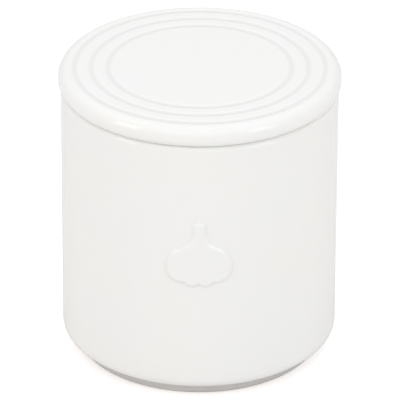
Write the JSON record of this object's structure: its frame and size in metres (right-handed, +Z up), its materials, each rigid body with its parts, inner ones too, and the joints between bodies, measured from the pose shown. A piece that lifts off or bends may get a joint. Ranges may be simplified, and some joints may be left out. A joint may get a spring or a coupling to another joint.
{
  "type": "garlic keeper",
  "caption": "Round glazed stoneware jar with a flat ringed lid that plugs into its mouth, a raised garlic bulb on the front and air holes at the back.",
  "frame": {"origin": "centre of the plane that the foot ring rests on", "axes": "+Z up along the jar's axis, -Y towards the raised bulb on the front"},
  "size_m": [0.108, 0.108, 0.1166],
  "materials": {
    "jar_glaze": "glossy white glaze",
    "lid_glaze": "glossy white glaze"
  },
  "bodies": {
    "jar": {"jar": "jar_glaze"},
    "lid": {"lid": "lid_glaze"}
  },
  "joints": [
    {"name": "lid_lift", "type": "slide", "parent": "jar", "child": "lid", "axis": [0, 0, 1], "range_m": [0, 0.12]}
  ]
}
